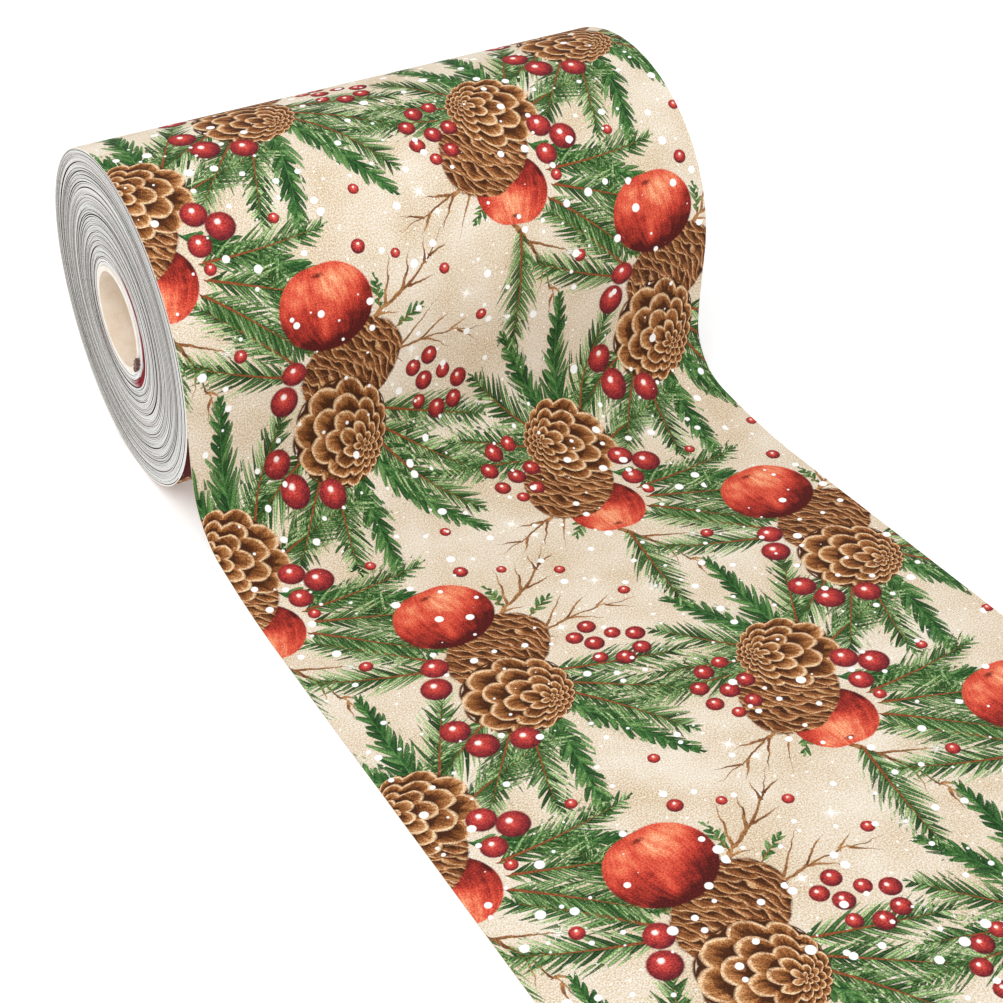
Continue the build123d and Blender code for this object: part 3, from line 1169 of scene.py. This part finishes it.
@dataclass
class WoundPaper:
    """Wound paper as a real spiral of thin turns, with uneven gaps and uneven ends.

    The radius at turn k and angle a is the radius one turn further in plus the paper's thickness and a gap.
    The gap is a smooth random function of the whole angle wound so far, so the spiral never jumps.

    Attributes:
        node: The CAD node that the piece replaces.
        name: Name of the piece.
        inner: Radius that the spiral starts at.
        outer: Radius that it stays inside.
        turns: Number of turns.
        finish: Finish of the cut edges.
        between: Material of the faces between the turns.
        seed: Seed of the random gaps and ends.
        start: Angle of the spiral's start, in radians from the top towards the front.
        loosest: Angle at which the turns lie loosest.
        paper_share: Share of the radius that is paper; the rest is gaps.
        tightest: Least gap, in shares.
        looseness: How much wider the widest gaps are, in shares.
        lean: How far the gaps change from the tight side to the loose side.
        steps: Points in one turn.
        stagger: How far a turn's edge may lie short of the roll's end.
    """

    sizes: RollSizes
    node: str
    name: str
    inner: float
    outer: float
    turns: int
    finish: PaperEdges
    between: bpy.types.Material
    seed: int
    start: float = math.radians(135.0)
    loosest: float = math.radians(-40.0)
    paper_share: float = 0.79
    tightest: float = 0.12
    looseness: float = 9.0
    lean: float = 0.93
    steps: int = 120
    stagger: float = 0.6 * MM

    def gaps(self) -> np.ndarray:
        """Return the gap's share under each point, turns by steps: mostly tight, with a few loose turns."""
        draw = np.random.default_rng(self.seed)
        whole = np.arange(self.turns * self.steps) / self.steps
        knots = np.arange(0, self.turns + 1, 0.25)
        loose = draw.random(len(knots)) ** 4 * self.looseness + self.tightest
        loose[-1] = loose[4]
        angle = self.start + whole * 2 * math.pi
        lean = 1.0 + self.lean * np.cos(angle - self.loosest)
        return (np.interp(whole, knots, loose) * lean).reshape(self.turns, self.steps)

    def build(self) -> bpy.types.Object:
        """Make the spiral strip between its inner and outer radius, with two columns of points across."""
        paper = self.paper_share * (self.outer - self.inner) / (self.turns + 1)
        spare = self.outer - self.inner - (self.turns + 1) * paper
        gap = self.gaps()[1:]
        gap *= spare / (gap.sum(0, keepdims=True) + gap[0, 0])
        share = np.arange(self.steps) / self.steps
        further = np.concatenate([np.zeros((1, self.steps)), np.cumsum(paper + gap, 0)])
        radii = (self.inner + share[None] * (paper + gap[0, 0]) + further).ravel()
        turn = np.arange(len(radii)) / self.steps
        angle = self.start + turn * 2 * math.pi
        draw = np.random.default_rng(self.seed + 1)
        knots = np.arange(0, self.turns + 1, 0.5)
        short = np.stack([np.interp(turn, knots, draw.random(len(knots))) for _ in range(2)], -1)
        across = np.array([-1, 1]) * (self.sizes.width / 2 - short * self.stagger)
        slab = Slab(*[rolled(angle, across, radius[:, None]) for radius in (radii + paper, radii)])
        edges = self.finish.material()
        piece = slab.build(self.name, [self.between, self.between, edges])
        quads, _ = slab.quads()
        rows = (quads % len(radii.repeat(2))) // 2
        values = np.zeros((*quads.shape, 3))
        values[..., 0] = turn[rows]
        store_corners(piece.data, "turn", values)
        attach(piece, "roll")
        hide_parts(self.node)
        frame_slot(self.node)
        return piece


def frame_slot(node: str) -> str:
    """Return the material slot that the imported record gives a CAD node."""
    return next(s["material_slot"] for s in frame["record"]["subparts"] if s["node"] == node)


@dataclass
class CoreTube:
    """The board core: a tube wound from kraft strip, with paler cut ends."""

    sizes: RollSizes
    steps: int = 160
    columns: int = 9

    def build(self) -> bpy.types.Object:
        """Make the tube as a closed ring strip with its wall's real thickness."""
        angles = np.arange(self.steps) / self.steps * 2 * math.pi
        across = self.sizes.across(self.columns)
        grids = [rolled(angles, across, r) for r in (self.sizes.core_radius, self.sizes.bore_radius)]
        kraft = PlainPaper("kraft board", "#F8EDE0", "#E0CBB2", 0.7, 9.0).material()
        rim = PlainPaper("cut board end", "#FAF4EC", "#DDD0C0", 0.6, 5.0).material()
        piece = Slab(*grids, True).build("core_tube_board", [rim, kraft, rim])
        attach(piece, "roll")
        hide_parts("core_tube")
        return piece


@dataclass
class StartFold:
    """The crumpled, folded start of the web in the wedge gap beside the core.

    Attributes:
        sizes: Sizes of the roll.
        start: Angle at which the fold starts, in radians from the top towards the front.
        sweep: Angle that it takes up.
        depth: Greatest height of its crumpled face over the core.
        flare: How far it sticks out of the roll's near end.
        seat: Distance of its inner face from the core.
        skin: Least thickness of the fold.
        inset: Distance of its straight part from the ends of the roll.
        flare_columns: Columns of points in the part that sticks out.
        rows: Rows of points along the arc.
        columns: Columns of points in the straight part.
    """

    sizes: RollSizes
    start: float = math.radians(108.0)
    sweep: float = math.radians(25.0)
    depth: float = 1.1 * MM
    flare: float = 1.6 * MM
    seat: float = 0.06 * MM
    skin: float = 0.12 * MM
    inset: float = 0.2 * MM
    flare_columns: int = 7
    rows: int = 40
    columns: int = 24

    def build(self) -> bpy.types.Object:
        """Make the fold: an arc strip whose outer face is creased by two crossing sine waves."""
        share = np.linspace(0.0, 1.0, self.rows)
        half = self.sizes.width / 2
        inside = np.linspace(-half + self.inset, half - self.inset, self.columns)
        outside = np.linspace(-half - self.flare, -half - self.inset, self.flare_columns)
        across = np.concatenate([outside, inside])
        past = np.clip((-half - across) / self.flare, 0.0, 1.0)[None] ** 0.3
        angle = self.start + share * self.sweep
        inner = self.sizes.core_radius + self.seat
        crease = 0.5 + 0.5 * np.sin(share[:, None] * 23.0 + np.sin(across[None] * 60.0) * 1.7)
        hump = np.sin(share * math.pi)[:, None] ** 0.5
        outer = inner + self.skin + self.depth * hump * (0.45 + 0.5 * crease)
        outer = outer + past * hump * crease * 1.2 * MM
        lower = inner - past * hump * (1.4 + 1.2 * crease) * MM
        slab = Slab(*[rolled(angle, across, radius) for radius in (outer, lower)])
        # Reddish paper colour, with its dark tones painted shade of the crumpled recess beside the core.
        paper = PlainPaper("crumpled reddish paper in painted shade", "#9A7A70", "#3C1D1C", 1.2, 3.0).material()
        piece = slab.build("start_fold_crumpled", [paper, paper, paper])
        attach(piece, "roll")
        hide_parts("start_fold")
        return piece


# ---- Stage ----


@dataclass(frozen=True)
class Studio:
    """A plain pale floor, soft light from above and the left, and the camera. Lengths are in metres.

    Attributes:
        floor_height: Height of the roll's lowest line.
        floor_gap: How far the floor lies under it, so that the two never share a plane.
        floor_size: Half the floor's width.
        floor_glow: Light that the floor gives off itself, which keeps it white.
        surround: Brightness of the white surround.
        lamp_power: Power of the lamp, in watts.
        lamp_size: Width of the lamp; a large one makes soft shadows.
        lamp_at: Place of the lamp.
        lamp_aim: Point that the lamp faces.
        camera_at: Place of the camera.
        azimuth: Direction of view, in radians from +Y towards +X.
        elevation: How far the view looks down.
        roll: Turn of the picture about the view's axis.
        lens: Focal length for a sensor of sensor millimetres.
        sensor: Width of the sensor.
        shift: Shift of the lens, in shares of the sensor.
    """

    floor_height: float
    floor_gap: float = 0.2 * MM
    floor_size: float = 6.0
    floor_glow: float = 0.22
    surround: float = 0.80
    lamp_power: float = 13.0
    lamp_size: float = 1.2
    lamp_at: tuple[float, float, float] = (-0.7, -0.7, 1.3)
    lamp_aim: tuple[float, float, float] = (0.0, -0.1, 0.0)
    camera_at: tuple[float, float, float] = (-0.3792, -0.7622, 0.4581)
    azimuth: float = math.radians(30.10)
    elevation: float = math.radians(31.78)
    roll: float = math.radians(-0.69)
    lens: float = 64.28
    sensor: float = 36.0
    shift: tuple[float, float] = (0.0171, -0.1496)

    def floor(self) -> None:
        """Lay a wide white floor a hair under the roll."""
        size = self.floor_size
        height = self.floor_height - self.floor_gap
        mesh = bpy.data.meshes.new("floor")
        corners = [(-size, -size), (size, -size), (size, size), (-size, size)]
        mesh.from_pydata([(x, y, height) for x, y in corners], [], [(0, 1, 2, 3)])
        piece = bpy.data.objects.new("floor", mesh)
        bpy.context.scene.collection.objects.link(piece)
        material, _, shader = blank("matt white floor", 0.9)
        shader.inputs["Base Color"].default_value = linear("#FAFAFA")
        shader.inputs["Emission Color"].default_value = linear("#FFFFFF")
        shader.inputs["Emission Strength"].default_value = self.floor_glow
        mesh.materials.append(material)

    def light(self) -> None:
        """Light the scene with a bright white surround and one large soft lamp, upper left in front."""
        world = bpy.data.worlds.new("studio")
        world.use_nodes = True
        sky = world.node_tree.nodes["Background"]
        sky.inputs["Color"].default_value = linear("#FFFFFF")
        sky.inputs["Strength"].default_value = self.surround
        bpy.context.scene.world = world
        lamp = bpy.data.lights.new("softbox", "AREA")
        lamp.energy = self.lamp_power
        lamp.size = self.lamp_size
        holder = bpy.data.objects.new("softbox", lamp)
        bpy.context.scene.collection.objects.link(holder)
        holder.location = self.lamp_at
        ahead = Vector(self.lamp_aim) - holder.location
        holder.rotation_euler = ahead.to_track_quat("-Z", "Y").to_euler()
        bpy.context.scene.view_settings.view_transform = "Standard"

    def camera(self) -> None:
        """Place the camera: its back points away from the roll, and a small roll levels the picture."""
        data = bpy.data.cameras.new("camera")
        data.lens = self.lens
        data.sensor_width = self.sensor
        data.shift_x, data.shift_y = self.shift
        data.clip_start = 0.01
        holder = bpy.data.objects.new("camera", data)
        bpy.context.scene.collection.objects.link(holder)
        ahead = Vector((
            math.cos(self.elevation) * math.sin(self.azimuth),
            math.cos(self.elevation) * math.cos(self.azimuth),
            -math.sin(self.elevation),
        ))
        turned = ahead.to_track_quat("-Z", "Y").to_matrix().to_4x4()
        holder.matrix_world = Matrix.Translation(self.camera_at) @ turned @ Matrix.Rotation(self.roll, 4, "Z")
        bpy.context.scene.camera = holder


def main() -> None:
    """Build the stage and every piece in order, and report each."""
    logging.basicConfig(level=logging.INFO, format="%(name)s: %(message)s")
    sizes = read_sizes()
    studio = Studio(sizes.floor)
    studio.camera()
    studio.floor()
    studio.light()
    repeat = PrintRepeat(along=sizes.repeat / MM)
    repeat.sort_layers()
    paper = PrintedPaper(repeat).material()
    leader_end = 32.2 * MM
    printed = PaperEdges("cut edges of printed paper")
    bare = PaperEdges("cut edges of bare paper", "#E9E6E2", "#BDB7B2", "#D9CFCB", "#FFFFFF", "#FFFFFF", 0.95)
    makers = [
        OuterTurn(sizes, repeat, paper),
        FreeSheet(sizes, repeat, paper),
        WoundPaper(
            sizes, node="wound_web", name="wound_web_turns", inner=leader_end,
            outer=sizes.radius - sizes.paper, turns=84, finish=printed, between=ShadedGapInk().material(), seed=11,
        ),
        WoundPaper(
            sizes, node="leader_turns", name="leader_turns_bare", inner=sizes.core_radius, outer=leader_end,
            turns=6, finish=bare, seed=5,
            # The white leader paper's faces between its turns are painted grey: painted shade of the gaps.
            between=PlainPaper("bare paper between the turns in painted shade", "#C9C3BC", "#A39C94").material(),
        ),
        CoreTube(sizes),
        StartFold(sizes),
    ]
    for maker in makers:
        piece = maker.build()
        LOG.info("%s: %d faces", piece.name, len(piece.data.polygons))


if __name__ == "__main__":
    main()
